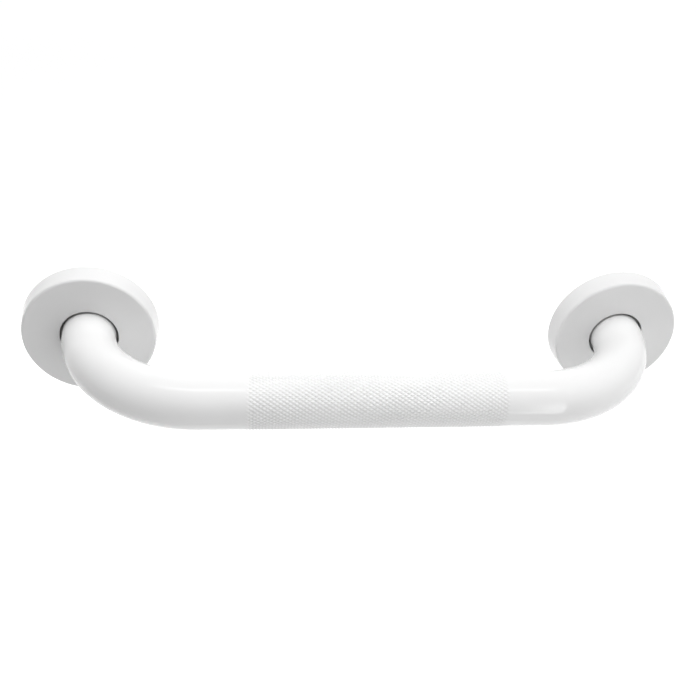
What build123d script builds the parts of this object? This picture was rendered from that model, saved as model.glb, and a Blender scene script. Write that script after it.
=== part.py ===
from build123d import *
import math
import os

os.makedirs("parts", exist_ok=True)

# Grab bar: a bent, knurled steel tube on two screwed wall discs, each hidden by a slip-on round cover.
# Frame: origin midway between the two discs on the wall plane, +X along the bar, +Y into the wall, +Z up.

# Driving dimensions, in millimetres and degrees
TUBE_OD = 32.0
TUBE_WALL = 1.2
SPAN = 332.0
LEG_LENGTH = 10.0
BEND_RADIUS = 67.0
GRIP_LENGTH = 150.0
GRIP_RAISE = 0.3
GRIP_TAPER = 2.0
FLANGE_OD = 78.5
FLANGE_THICK = 3.2
FLANGE_BREAK = 0.4
SCREW_CIRCLE = 58.0
SCREW_HOLE = 6.5
SCREW_COUNT = 3
WELD_LEG = 3.0
COVER_DEPTH = 13.0
COVER_SHEET = 1.0
COVER_EDGE_RADIUS = 1.6
COVER_FLARE = 7.0

# Clearances
TUBE_IN_FLANGE = 0.05
TUBE_END_BACK = 0.4
COVER_ON_FLANGE = 0.3
COVER_ON_TUBE = 1.3
COVER_OFF_WALL = 0.2

# Sizes that follow
tube_r = TUBE_OD / 2
bore_r = tube_r - TUBE_WALL
leg_x = SPAN / 2
bend_x = leg_x - BEND_RADIUS
bend_y = -LEG_LENGTH
stand_off = LEG_LENGTH + BEND_RADIUS
flange_r = FLANGE_OD / 2
flange_hole_r = tube_r + TUBE_IN_FLANGE
flare = math.tan(math.radians(COVER_FLARE))
sheet_across = COVER_SHEET / math.cos(math.radians(COVER_FLARE))
cover_hole_r = tube_r + COVER_ON_TUBE


def turned(face, sign):
    """Full turn of a (radius, y) section about the leg of one side."""
    placed = Pos(sign * leg_x, 0, 0) * face
    return revolve(placed, Axis((sign * leg_x, 0, 0), (0, 1, 0)))


def skirt_inner_r(y):
    """Inside radius of the cover's skirt, set by its fit on the disc's front edge."""
    return flange_r + COVER_ON_FLANGE + flare * (y + FLANGE_THICK)


def corner(face, x, y):
    """The corner of a section that lies nearest to a point."""
    return min(face.vertices(), key=lambda v: math.hypot(v.X - x, v.Y - y))


# Bent tube: out from one disc, along the bar, back to the other disc
def tube_path():
    end_y = -TUBE_END_BACK
    quarter = math.sqrt(0.5) * BEND_RADIUS
    left_out = Line((-leg_x, end_y, 0), (-leg_x, bend_y, 0))
    left_bend = ThreePointArc(
        (-leg_x, bend_y, 0), (-bend_x - quarter, bend_y - quarter, 0), (-bend_x, -stand_off, 0)
    )
    run = Line((-bend_x, -stand_off, 0), (bend_x, -stand_off, 0))
    right_bend = ThreePointArc(
        (bend_x, -stand_off, 0), (bend_x + quarter, bend_y - quarter, 0), (leg_x, bend_y, 0)
    )
    right_in = Line((leg_x, bend_y, 0), (leg_x, end_y, 0))
    return Wire([left_out, left_bend, run, right_bend, right_in])


path = tube_path()
start = Plane(origin=(-leg_x, -TUBE_END_BACK, 0), x_dir=(1, 0, 0), z_dir=(0, -1, 0))
tube_section = start * (Circle(tube_r) - Circle(bore_r))
tube = sweep(tube_section, path=path)

# Grip: the knurled length stands a little above the plain tube and runs out in a taper at each end
grip_half = GRIP_LENGTH / 2
grip_root_r = tube_r - TUBE_WALL / 2
grip_top_r = tube_r + GRIP_RAISE
grip_outline = Polyline(
    (-grip_half, -stand_off + grip_root_r),
    (-grip_half, -stand_off + tube_r),
    (-grip_half + GRIP_TAPER, -stand_off + grip_top_r),
    (grip_half - GRIP_TAPER, -stand_off + grip_top_r),
    (grip_half, -stand_off + tube_r),
    (grip_half, -stand_off + grip_root_r),
    close=True,
)
grip_band = revolve(make_face(grip_outline), Axis((0, -stand_off, 0), (1, 0, 0)))
grip_tube = tube + grip_band


# Wall disc: the tube's end stands in its middle hole, the screws go round it
def wall_flange(sign):
    section = make_face(
        Polyline(
            (flange_hole_r, 0),
            (flange_r, 0),
            (flange_r, -FLANGE_THICK + FLANGE_BREAK),
            (flange_r - FLANGE_BREAK, -FLANGE_THICK),
            (flange_hole_r, -FLANGE_THICK),
            close=True,
        )
    )
    disc = turned(section, sign)
    for k in range(SCREW_COUNT):
        turn = 2 * math.pi * k / SCREW_COUNT
        x = sign * (leg_x + SCREW_CIRCLE / 2 * math.cos(turn))
        z = SCREW_CIRCLE / 2 * math.sin(turn)
        hole = Pos(x, -FLANGE_THICK / 2, z) * Rot(90, 0, 0) * Cylinder(SCREW_HOLE / 2, 2 * FLANGE_THICK)
        disc = disc - hole
    return disc


# Weld bead: a fillet between the tube and the front of its disc
def weld_bead(sign):
    section = make_face(
        Polyline(
            (tube_r, -FLANGE_THICK),
            (tube_r + WELD_LEG, -FLANGE_THICK),
            (tube_r, -FLANGE_THICK - WELD_LEG),
            close=True,
        )
    )
    return turned(section, sign)


# Cover: a pressed cup with a flat face, a rounded front edge and a skirt that widens to the wall
def cover(sign):
    front = -COVER_DEPTH
    back_of_face = front + COVER_SHEET
    rim = -COVER_OFF_WALL
    outer_front = (skirt_inner_r(front) + sheet_across, front)
    inner_front = (skirt_inner_r(back_of_face), back_of_face)
    section = make_face(
        Polyline(
            (cover_hole_r, front),
            outer_front,
            (skirt_inner_r(rim) + sheet_across, rim),
            (skirt_inner_r(rim), rim),
            inner_front,
            (cover_hole_r, back_of_face),
            close=True,
        )
    )
    section = fillet(corner(section, *outer_front), COVER_EDGE_RADIUS)
    section = fillet(corner(section, *inner_front), COVER_EDGE_RADIUS - COVER_SHEET)
    return turned(section, sign)


export_step(grip_tube, "parts/grip_tube.step")
for side, sign in (("left", -1), ("right", 1)):
    export_step(wall_flange(sign), f"parts/{side}_flange.step")
    export_step(weld_bead(sign), f"parts/{side}_weld.step")
    export_step(cover(sign), f"parts/{side}_cover.step")
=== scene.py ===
import math

import bpy
import numpy as np
from mathutils import Matrix, Vector


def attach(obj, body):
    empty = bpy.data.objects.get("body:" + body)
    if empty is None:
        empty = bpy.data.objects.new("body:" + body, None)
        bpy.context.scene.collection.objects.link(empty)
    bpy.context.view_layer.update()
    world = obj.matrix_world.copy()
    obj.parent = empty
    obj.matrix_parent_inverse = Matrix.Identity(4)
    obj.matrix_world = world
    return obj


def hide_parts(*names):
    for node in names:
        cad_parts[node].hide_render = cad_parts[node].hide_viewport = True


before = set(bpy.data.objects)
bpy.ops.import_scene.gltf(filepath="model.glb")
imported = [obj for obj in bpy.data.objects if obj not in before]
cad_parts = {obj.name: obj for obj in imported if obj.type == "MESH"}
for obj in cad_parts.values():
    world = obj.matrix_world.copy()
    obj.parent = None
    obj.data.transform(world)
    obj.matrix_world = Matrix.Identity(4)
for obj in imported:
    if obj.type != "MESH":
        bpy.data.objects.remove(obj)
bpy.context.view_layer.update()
MM = 0.001

# Sizes of the solids, in millimetres, as the part has them
TUBE_R = 16.0
BORE_R = 14.8
LEG_X = 166.0
LEG_LENGTH = 10.0
BEND_R = 67.0
BEND_X = LEG_X - BEND_R
STAND_OFF = LEG_LENGTH + BEND_R
TUBE_END = 0.4
GRIP_HALF = 75.0
FLANGE_R = 39.25
FLANGE_THICK = 3.2
WELD_LEG = 3.0
COVER_DEPTH = 13.0
COVER_SHEET = 1.0
COVER_EDGE_R = 1.6
COVER_FLARE = math.radians(7.0)
COVER_ON_FLANGE = 0.3
COVER_OFF_WALL = 0.2
COVER_HOLE_R = 17.3

# Crests of the grip: a hair inside the solid's raised band, with a longer run-out at the ends
GRIP_RAISE = 0.26
GRIP_TAPER = 3.5

# Knurl: diamonds round the tube and along the grip, mesh cells in each diamond, depth of the grooves
KNURL_ROUND = 42
KNURL_LONG = 42
KNURL_CELLS = 6
KNURL_DEPTH = 0.56

# Distances from the grip's ends between which the grooves reach their depth
KNURL_FADE = (0.2, 4.0)

# Unevenness of the depth: share of it, radians per millimetre, lobes round the tube, phase
KNURL_WANDER = [(0.10, 0.043, 2, 0.0), (0.07, 0.11, -3, 1.3)]

# The relief layer is 0 on a crest and 1 in a groove; the plain tube takes a value between them. The tube's
# coat reads it to paint light on the crests and shade in the grooves
PLAIN_RELIEF = 0.7

# Rings of the tube's mesh on a leg, a bend and a plain run, and on a bend of the bore
LEG_RINGS = 4
BEND_RINGS = 41
RUN_RINGS = 6
BORE_BEND_RINGS = 21

# A ring of the grip has three times the points of a plain ring, and the two meet over a short lead
FINE_PER_PLAIN = 3
GRIP_LEAD = 1.0

# Points round the turned pieces
COVER_POINTS = 192
WELD_POINTS = 348

# Covers: rounding of the sheet's cut edges and of the inner corner, steps in each rounding,
# and the distance of the support rows beside them
CUT_EDGE_R = 0.3
CUT_EDGE_STEPS = 4
INNER_EDGE_R = COVER_EDGE_R - COVER_SHEET
INNER_EDGE_STEPS = 5
OUTER_EDGE_STEPS = 10
SUPPORT = 0.12

# Weld beads: steps across, bulge along each axis, height and number of the ripples, and their sweep
WELD_STEPS = 10
WELD_BULGE = 0.245
WELD_RIPPLE = 0.10
WELD_BEADS = 58
WELD_SWEEP = 2.2

# Angles in degrees from which an edge of the mesh is shown sharp
TUBE_SHARP = 60
TURNED_SHARP = 50


def smooth(x, low, high):
    t = np.clip((np.asarray(x, float) - low) / (high - low), 0.0, 1.0)
    return t * t * (3 - 2 * t)


def new_object(name, verts_mm, faces, sharp):
    mesh = bpy.data.meshes.new(name)
    mesh.from_pydata([tuple(float(c) * MM for c in v) for v in verts_mm], [], faces)
    mesh.validate()
    mesh.update()
    mesh.shade_smooth()
    mesh.set_sharp_from_angle(angle=math.radians(sharp))
    obj = bpy.data.objects.new(name, mesh)
    bpy.context.scene.collection.objects.link(obj)
    return obj


# Tube
def axis_station(side, kind, value):
    """Centre of the tube's axis and the outward direction there, in the plane of the bar."""
    if kind == "leg":
        return (side * LEG_X, -value), (side * 1.0, 0.0)
    if kind == "bend":
        out = (side * math.cos(value), -math.sin(value))
        return (side * BEND_X + BEND_R * out[0], -LEG_LENGTH + BEND_R * out[1]), out
    return (side * value, -STAND_OFF), (0.0, -1.0)


def outer_stations(side):
    """Stations of the plain tube from the wall to the grip, on one side."""
    legs = np.linspace(TUBE_END, LEG_LENGTH, LEG_RINGS)[:-1]
    bends = np.linspace(0, math.pi / 2, BEND_RINGS)
    runs = np.linspace(BEND_X, GRIP_HALF + GRIP_LEAD, RUN_RINGS)[1:]
    stations = [axis_station(side, "leg", v) for v in legs]
    stations += [axis_station(side, "bend", v) for v in bends]
    stations += [axis_station(side, "run", v) for v in runs]
    return stations


def bore_stations(side):
    """Stations of the bore from the wall to the end of the bend, on one side."""
    bends = np.linspace(0, math.pi / 2, BORE_BEND_RINGS)
    return [axis_station(side, "leg", TUBE_END)] + [axis_station(side, "bend", v) for v in bends]


def grip_radius(x):
    """Crest radius along the straight run: the grip stands proud and runs out in a taper."""
    return TUBE_R + GRIP_RAISE * smooth(GRIP_HALF - np.abs(x), 0.0, GRIP_TAPER)


def to_groove(phase):
    """Cells from a point to the nearest groove of one set, by the point's place across that set."""
    phase = phase % KNURL_CELLS
    return np.minimum(phase, KNURL_CELLS - phase)


def knurl_depth(i, j):
    """Depth of the two crossing sets of grooves at a mesh point: 0 on a crest, 1 in a groove."""
    return 1 - 2 * np.minimum(to_groove(i + j), to_groove(i - j)) / KNURL_CELLS


def make_tube():
    fine = KNURL_ROUND * KNURL_CELLS
    coarse = fine // FINE_PER_PLAIN
    long_cells = KNURL_LONG * KNURL_CELLS
    verts, relief, faces = [], [], []

    def add_ring(station, radii, count, depth=None):
        centre, out = station
        base = len(verts)
        turns = 2 * np.pi * np.arange(count) / count
        for turn, radius in zip(turns, np.broadcast_to(radii, (count,))):
            reach = radius * math.cos(turn)
            verts.append((centre[0] + reach * out[0], centre[1] + reach * out[1], radius * math.sin(turn)))
        relief.extend([PLAIN_RELIEF] * count if depth is None else depth)
        return list(range(base, base + count))

    def join(a, b, flip=False):
        n = len(a)
        for k in range(n):
            f = (a[k], b[k], b[(k + 1) % n], a[(k + 1) % n])
            faces.append(f[::-1] if flip else f)

    def join_row(rings, flip=False):
        for a, b in zip(rings, rings[1:]):
            join(a, b, flip)

    def join_fine(few, many, flip=False):
        """Joins a ring of few points to a ring of three times as many."""
        n, m = len(few), len(many)
        for k in range(n):
            p, q = few[k], few[(k + 1) % n]
            r = [many[(FINE_PER_PLAIN * k + t) % m] for t in range(FINE_PER_PLAIN + 1)]
            tris = [(p, r[0], r[1]), (p, r[1], r[2]), (p, r[2], q), (q, r[2], r[3])]
            for t in tris:
                faces.append(t[::-1] if flip else t)

    left = [add_ring(station, TUBE_R, coarse) for station in outer_stations(-1)]
    join_row(left)

    # Grip with its two crossing sets of grooves
    cols = np.arange(fine)
    turns = 2 * np.pi * cols / fine
    grip = []
    for i in range(long_cells + 1):
        x = -GRIP_HALF + 2 * GRIP_HALF * i / long_cells
        fade = float(smooth(GRIP_HALF - abs(x), *KNURL_FADE))
        wander = 1.0
        for share, rate, lobes, phase in KNURL_WANDER:
            wander = wander + share * np.sin(rate * x + lobes * turns + phase)
        depth = knurl_depth(i, cols)
        radii = grip_radius(x) - KNURL_DEPTH * fade * wander * depth
        shown = PLAIN_RELIEF + fade * (depth - PLAIN_RELIEF)
        grip.append(add_ring(axis_station(1, "run", x), radii, fine, shown))
    join_fine(left[-1], grip[0])

    # Each cell of the grip is split along the set whose groove is nearer
    for i in range(long_cells):
        a, b = grip[i], grip[i + 1]
        for j in range(fine):
            k = (j + 1) % fine
            if to_groove(i + j + 1) < to_groove(i - j):
                faces.append((a[j], b[j], a[k]))
                faces.append((b[j], b[k], a[k]))
            else:
                faces.append((a[j], b[j], b[k]))
                faces.append((a[j], b[k], a[k]))

    right = [add_ring(station, TUBE_R, coarse) for station in outer_stations(1)[::-1]]
    join_fine(right[0], grip[-1], flip=True)
    join_row(right)

    # Bore, and the cut ends that join it to the outside
    stations = bore_stations(-1) + bore_stations(1)[::-1]
    bore = [add_ring(station, BORE_R, coarse) for station in stations]
    join_row(bore, flip=True)
    join(left[0], bore[0], flip=True)
    join(right[-1], bore[-1])

    obj = new_object("grip_tube_skin", verts, faces, TUBE_SHARP)
    layer = obj.data.attributes.new("relief", "FLOAT", "POINT")
    layer.data.foreach_set("value", np.array(relief, np.float32))
    return obj


# Turned pieces
def lathe(name, profile, centre_x, count, ripple=None):
    """A closed section of (radius, y) points turned about a leg's axis."""
    verts, faces = [], []
    n = len(profile)
    for k in range(count):
        turn = 2 * math.pi * k / count
        for m, (r, y) in enumerate(profile):
            dr, dy = ripple(turn, m) if ripple else (0.0, 0.0)
            verts.append((centre_x + (r + dr) * math.cos(turn), y + dy, (r + dr) * math.sin(turn)))
    for k in range(count):
        a, b = k * n, ((k + 1) % count) * n
        for m in range(n):
            p = (m + 1) % n
            faces.append((a + m, a + p, b + p, b + m))
    return new_object(name, verts, faces, TURNED_SHARP)


def unit(v):
    return v / np.linalg.norm(v)


def corner_round(before, corner, after, radius, steps):
    """Points that round a corner between its neighbours, with a support row at each end."""
    u, w = unit(before - corner), unit(after - corner)
    half = math.acos(float(np.clip(u @ w, -1, 1))) / 2
    cut = radius / math.tan(half)
    centre = corner + unit(u + w) * radius / math.sin(half)
    start, end = corner + u * cut - centre, corner + w * cut - centre
    sweep = math.atan2(start[0] * end[1] - start[1] * end[0], start @ end)
    out = [centre + start + u * SUPPORT]
    for k in range(steps + 1):
        c, s = math.cos(sweep * k / steps), math.sin(sweep * k / steps)
        out.append(centre + (start[0] * c - start[1] * s, start[0] * s + start[1] * c))
    out.append(centre + end + w * SUPPORT)
    return out


def rounded_section(corners):
    """A closed section from corners, each with its radius, y, rounding and steps."""
    out = []
    points = [np.array(corner[:2]) for corner in corners]
    n = len(points)
    for k, (_, _, radius, steps) in enumerate(corners):
        out.extend(corner_round(points[k - 1], points[k], points[(k + 1) % n], radius, steps))
    return out


def skirt_inner(y):
    """Radius of the skirt's inner side, which widens to the wall."""
    return FLANGE_R + COVER_ON_FLANGE + math.tan(COVER_FLARE) * (y + FLANGE_THICK)


def make_cover(side, sign):
    across = COVER_SHEET / math.cos(COVER_FLARE)
    front, back, rim = -COVER_DEPTH, -COVER_DEPTH + COVER_SHEET, -COVER_OFF_WALL
    section = rounded_section([
        (COVER_HOLE_R, front, CUT_EDGE_R, CUT_EDGE_STEPS),
        (skirt_inner(front) + across, front, COVER_EDGE_R, OUTER_EDGE_STEPS),
        (skirt_inner(rim) + across, rim, CUT_EDGE_R, CUT_EDGE_STEPS),
        (skirt_inner(rim), rim, CUT_EDGE_R, CUT_EDGE_STEPS),
        (skirt_inner(back), back, INNER_EDGE_R, INNER_EDGE_STEPS),
        (COVER_HOLE_R, back, CUT_EDGE_R, CUT_EDGE_STEPS),
    ])
    return lathe(side + "_cover_skin", section, sign * LEG_X, COVER_POINTS)


def make_weld(side, sign):
    section = [(TUBE_R, -FLANGE_THICK)]
    for k in range(WELD_STEPS, -1, -1):
        t = k / WELD_STEPS
        bulge = WELD_BULGE * math.sin(math.pi * t)
        section.append((TUBE_R + WELD_LEG * (1 - t) + bulge, -FLANGE_THICK - WELD_LEG * t - bulge))

    def ripple(turn, m):
        """How far a point of the section moves out; the root and the bead's two toes stay."""
        if m < 2 or m > WELD_STEPS:
            return 0.0, 0.0
        height = math.sin(math.pi * (1 - (m - 1) / WELD_STEPS))
        wave = WELD_RIPPLE * math.sin(WELD_BEADS * turn + WELD_SWEEP * height) * height
        return wave, -wave

    return lathe(side + "_weld_skin", section, sign * LEG_X, WELD_POINTS, ripple)


# Materials: scale, detail and roughness of the noise for tone drift, gloss and orange peel
DRIFT_NOISE = (28.0, 3.0, 0.5)
GLOSS_NOISE = (160.0, 4.0, 0.5)
PEEL_NOISE = (620.0, 2.0, 0.45)
PEEL_HEIGHT = 0.00006
DRIFT_LOW, DRIFT_HIGH = 0.3, 0.7
COAT_ROUGHNESS = 0.04
COAT_IOR = 1.5


def noise(nt, coords, scale, detail, rough):
    n = nt.nodes.new("ShaderNodeTexNoise")
    n.inputs["Scale"].default_value = scale
    n.inputs["Detail"].default_value = detail
    n.inputs["Roughness"].default_value = rough
    nt.links.new(coords, n.inputs["Vector"])
    return n.outputs["Fac"]


def ramp(nt, fac, stops):
    r = nt.nodes.new("ShaderNodeValToRGB")
    els = r.color_ramp.elements
    while len(els) < len(stops):
        els.new(0.5)
    for e, (pos, col) in zip(els, stops):
        e.position = pos
        e.color = (*col, 1.0)
    nt.links.new(fac, r.inputs["Fac"])
    return r.outputs["Color"]


def span(nt, fac, low, high):
    m = nt.nodes.new("ShaderNodeMapRange")
    m.inputs["To Min"].default_value = low
    m.inputs["To Max"].default_value = high
    nt.links.new(fac, m.inputs["Value"])
    return m.outputs["Result"]


def coat_material(name, light, dark, rough, coat, peel, painted_knurl_light_shade=None):
    """White coat on steel: faint tone drift, orange peel at the scale of a sprayed coat, uneven gloss.
    The last argument scales the tone up on the knurl's crests and down in its grooves, read from the
    relief layer: painted light on the crests and painted shade in the grooves."""
    mat = bpy.data.materials.new(name)
    mat.use_nodes = True
    nt = mat.node_tree
    bsdf = next(n for n in nt.nodes if n.type == "BSDF_PRINCIPLED")
    coords = nt.nodes.new("ShaderNodeTexCoord").outputs["Object"]
    colour = ramp(nt, noise(nt, coords, *DRIFT_NOISE), [(DRIFT_LOW, dark), (DRIFT_HIGH, light)])
    # Painted light on the knurl's crests and painted shade in its grooves, scaled by the relief layer
    if painted_knurl_light_shade:
        attr = nt.nodes.new("ShaderNodeAttribute")
        attr.attribute_name = "relief"
        tone = nt.nodes.new("ShaderNodeVectorMath")
        tone.operation = "SCALE"
        nt.links.new(colour, tone.inputs[0])
        nt.links.new(span(nt, attr.outputs["Fac"], *painted_knurl_light_shade), tone.inputs["Scale"])
        colour = tone.outputs["Vector"]
    nt.links.new(colour, bsdf.inputs["Base Color"])
    nt.links.new(span(nt, noise(nt, coords, *GLOSS_NOISE), *rough), bsdf.inputs["Roughness"])
    bsdf.inputs["Coat Weight"].default_value = coat
    bsdf.inputs["Coat Roughness"].default_value = COAT_ROUGHNESS
    bsdf.inputs["IOR"].default_value = COAT_IOR
    bump = nt.nodes.new("ShaderNodeBump")
    bump.inputs["Strength"].default_value = peel
    bump.inputs["Distance"].default_value = PEEL_HEIGHT
    nt.links.new(noise(nt, coords, *PEEL_NOISE), bump.inputs["Height"])
    nt.links.new(bump.outputs["Normal"], bsdf.inputs["Normal"])
    return mat


def dress(obj, mat):
    obj.data.materials.clear()
    obj.data.materials.append(mat)


# The tube's coat paints light on the knurl's crests (factor 1.08) and shade in its grooves (factor 0.96)
tube_mat = coat_material("tube_white", light=(0.865, 0.865, 0.865), dark=(0.845, 0.845, 0.845),
                         rough=(0.05, 0.10), coat=0.25, peel=0.06, painted_knurl_light_shade=(1.08, 0.96))
cover_mat = coat_material("cover_white", light=(0.82, 0.82, 0.82), dark=(0.80, 0.80, 0.80),
                          rough=(0.13, 0.20), coat=0.25, peel=0.10)
flange_mat = coat_material("flange_white", light=(0.80, 0.80, 0.79), dark=(0.74, 0.74, 0.73),
                           rough=(0.36, 0.52), coat=0.05, peel=0.35)

# Pieces
tube = make_tube()
dress(tube, tube_mat)
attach(tube, "bar")
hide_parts("grip_tube")

for side, sign in (("left", -1), ("right", 1)):
    cover = make_cover(side, sign)
    dress(cover, cover_mat)
    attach(cover, side + "_cover")
    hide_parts(side + "_cover")
    weld = make_weld(side, sign)
    dress(weld, flange_mat)
    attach(weld, "bar")
    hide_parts(side + "_weld")
    dress(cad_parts[side + "_flange"], flange_mat)

# Camera, fitted to the photograph: place in millimetres, angles in radians, focal length in pixels
CAM_POS = (-86.24, -489.27, 323.69)
CAM_YAW, CAM_PITCH, CAM_ROLL = 0.16219, 0.60333, 0.09074
CAM_F = 931.283
IMAGE = 696.0
SENSOR = 36.0
CLIP_START = 0.01


def make_camera():
    cy, sy = math.cos(CAM_YAW), math.sin(CAM_YAW)
    cp, sp = math.cos(CAM_PITCH), math.sin(CAM_PITCH)
    fwd = Vector((sy * cp, cy * cp, -sp))
    level_right = Vector((cy, -sy, 0.0))
    level_up = level_right.cross(fwd)
    right = math.cos(CAM_ROLL) * level_right + math.sin(CAM_ROLL) * level_up
    up = -math.sin(CAM_ROLL) * level_right + math.cos(CAM_ROLL) * level_up
    data = bpy.data.cameras.new("camera")
    data.sensor_fit = "HORIZONTAL"
    data.sensor_width = SENSOR
    data.lens = CAM_F * SENSOR / IMAGE
    data.clip_start = CLIP_START
    cam = bpy.data.objects.new("camera", data)
    bpy.context.scene.collection.objects.link(cam)
    m = Matrix((right, up, -fwd)).transposed().to_4x4()
    m.translation = Vector(CAM_POS) * MM
    cam.matrix_world = m
    bpy.context.scene.camera = cam


make_camera()

# Light, in metres: the world and the floor are white where they are seen and dimmer as light sources
WORLD_FILL = 0.16
FLOOR_Z = -0.5
FLOOR_HALF = 8.0
FLOOR_TONE = 0.8
WHITE = (1.0, 1.0, 1.0, 1.0)

# What the floor adds to its lit colour in the picture, by distance from the object, so that it stays white
FLOOR_RAMP = 8.0
FLOOR_GLOW = [(0.3, 0.36), (0.9, 0.49), (1.7, 0.66), (2.6, 0.785), (3.6, 0.83), (5.2, 0.875), (8.0, 0.885)]


def seen_directly(nt):
    """1 for camera, glossy and transmission rays, 0 for the rays that light the object."""
    path = nt.nodes.new("ShaderNodeLightPath")
    seen = path.outputs["Is Camera Ray"]
    for key in ("Is Glossy Ray", "Is Transmission Ray"):
        either = nt.nodes.new("ShaderNodeMath")
        either.operation = "MAXIMUM"
        nt.links.new(seen, either.inputs[0])
        nt.links.new(path.outputs[key], either.inputs[1])
        seen = either.outputs[0]
    return seen


def show_by_ray(nt, out, lighting, seen):
    """Gives an output one shader for the rays that light the object and another where it is seen."""
    mix = nt.nodes.new("ShaderNodeMixShader")
    nt.links.new(seen_directly(nt), mix.inputs[0])
    nt.links.new(lighting.outputs[0], mix.inputs[1])
    nt.links.new(seen.outputs[0], mix.inputs[2])
    nt.links.new(mix.outputs[0], out.inputs["Surface"])


def make_world():
    world = bpy.data.worlds.new("studio")
    bpy.context.scene.world = world
    world.use_nodes = True
    nt = world.node_tree
    nt.nodes.clear()
    out = nt.nodes.new("ShaderNodeOutputWorld")
    fill = nt.nodes.new("ShaderNodeBackground")
    fill.inputs["Color"].default_value = WHITE
    fill.inputs["Strength"].default_value = WORLD_FILL
    white = nt.nodes.new("ShaderNodeBackground")
    white.inputs["Color"].default_value = WHITE
    white.inputs["Strength"].default_value = 1.0
    show_by_ray(nt, out, fill, white)


def make_floor():
    mesh = bpy.data.meshes.new("floor")
    corners = ((-1, -1), (1, -1), (1, 1), (-1, 1))
    mesh.from_pydata([(x * FLOOR_HALF, y * FLOOR_HALF, FLOOR_Z) for x, y in corners], [], [(0, 1, 2, 3)])
    floor = bpy.data.objects.new("floor", mesh)
    bpy.context.scene.collection.objects.link(floor)
    mat = bpy.data.materials.new("floor_white")
    mat.use_nodes = True
    nt = mat.node_tree
    nt.nodes.clear()
    out = nt.nodes.new("ShaderNodeOutputMaterial")
    dull = nt.nodes.new("ShaderNodeBsdfDiffuse")
    dull.inputs["Color"].default_value = (FLOOR_TONE, FLOOR_TONE, FLOOR_TONE, 1.0)
    glow = nt.nodes.new("ShaderNodeEmission")
    glow.inputs["Color"].default_value = WHITE
    flat = nt.nodes.new("ShaderNodeVectorMath")
    flat.operation = "MULTIPLY"
    flat.inputs[1].default_value = (1 / FLOOR_RAMP, 1 / FLOOR_RAMP, 0.0)
    nt.links.new(nt.nodes.new("ShaderNodeTexCoord").outputs["Object"], flat.inputs[0])
    reach = nt.nodes.new("ShaderNodeVectorMath")
    reach.operation = "LENGTH"
    nt.links.new(flat.outputs["Vector"], reach.inputs[0])
    stops = [(r / FLOOR_RAMP, (e, e, e)) for r, e in FLOOR_GLOW]
    nt.links.new(ramp(nt, reach.outputs["Value"], stops), glow.inputs["Strength"])
    add = nt.nodes.new("ShaderNodeAddShader")
    nt.links.new(dull.outputs[0], add.inputs[0])
    nt.links.new(glow.outputs[0], add.inputs[1])
    show_by_ray(nt, out, dull, add)
    mesh.materials.append(mat)


def area_light(name, place, target, size, power, spin=0.0, gloss=False):
    """A soft lamp that lights the object or, with gloss, is only mirrored in it."""
    data = bpy.data.lights.new(name, "AREA")
    data.shape = "RECTANGLE"
    data.size, data.size_y = size
    data.energy = power
    lamp = bpy.data.objects.new(name, data)
    bpy.context.scene.collection.objects.link(lamp)
    place = Vector(place)
    aim = (Vector(target) - place).to_track_quat("-Z", "Y").to_matrix().to_4x4()
    lamp.matrix_world = aim @ Matrix.Rotation(math.radians(spin), 4, "Z")
    lamp.location = place
    lamp.visible_camera = False
    lamp.visible_glossy = gloss
    lamp.visible_diffuse = not gloss
    return data


def fade_lamp(data, across, up):
    """Lets a lamp fade between two places across it and two places up it, each from 0 to 1."""
    data.use_nodes = True
    nt = data.node_tree
    glow = next(n for n in nt.nodes if n.type == "EMISSION")
    place = nt.nodes.new("ShaderNodeSeparateXYZ")
    nt.links.new(nt.nodes.new("ShaderNodeNewGeometry").outputs["Parametric"], place.inputs[0])
    both = nt.nodes.new("ShaderNodeMath")
    both.operation = "MULTIPLY"
    for k, (start, end) in enumerate((across, up)):
        m = nt.nodes.new("ShaderNodeMapRange")
        m.interpolation_type = "SMOOTHSTEP"
        m.inputs["From Min"].default_value = start
        m.inputs["From Max"].default_value = end
        nt.links.new(place.outputs[k], m.inputs["Value"])
        nt.links.new(m.outputs["Result"], both.inputs[k])
    nt.links.new(both.outputs[0], glow.inputs["Strength"])


# Lamps that light the object: name, place, target, width and height, power
BAR_MIDDLE = (0.0, -0.04, 0.0)
LAMPS = [
    ("top_softbox", (0.0, 0.05, 1.5), BAR_MIDDLE, (2.2, 1.5), 17.8),
    ("left_softbox", (-0.9, 0.0, 1.25), BAR_MIDDLE, (1.3, 1.3), 7.8),
    ("right_softbox", (3.2, 0.3, 1.0), BAR_MIDDLE, (1.4, 1.4), 30.5),
    ("near_middle", (0.0, -0.05, 0.35), (0.0, -0.05, 0.0), (0.2, 0.2), 0.16),
    ("front_softbox", (0.335, -0.8, 0.1), BAR_MIDDLE, (0.5, 0.8), 2.28),
    ("low_front", (0.05, -0.45, -0.3), BAR_MIDDLE, (0.3, 0.3), 0.16),
    ("back_fill", (0.0, 1.3, 0.2), BAR_MIDDLE, (1.2, 0.8), 6.5),
]

make_world()
make_floor()
for lamp in LAMPS:
    area_light(*lamp)

# Lamps that are only mirrored: the streak along the tube's top and the soft patch at its right bend
area_light("top_strip", (0.01, -0.26, 1.0), (0.01, -0.26, 0.0), (1.08, 0.15), 1.3,
           spin=-17.4, gloss=True)
panel = area_light("front_panel", (0.36, -0.70, -0.005), (0.0, -0.04, -0.005), (0.19, 0.71), 1.2,
                   gloss=True)
fade_lamp(panel, across=(0.0, 0.4), up=(1.0, 0.45))

bpy.context.scene.view_settings.view_transform = "Standard"
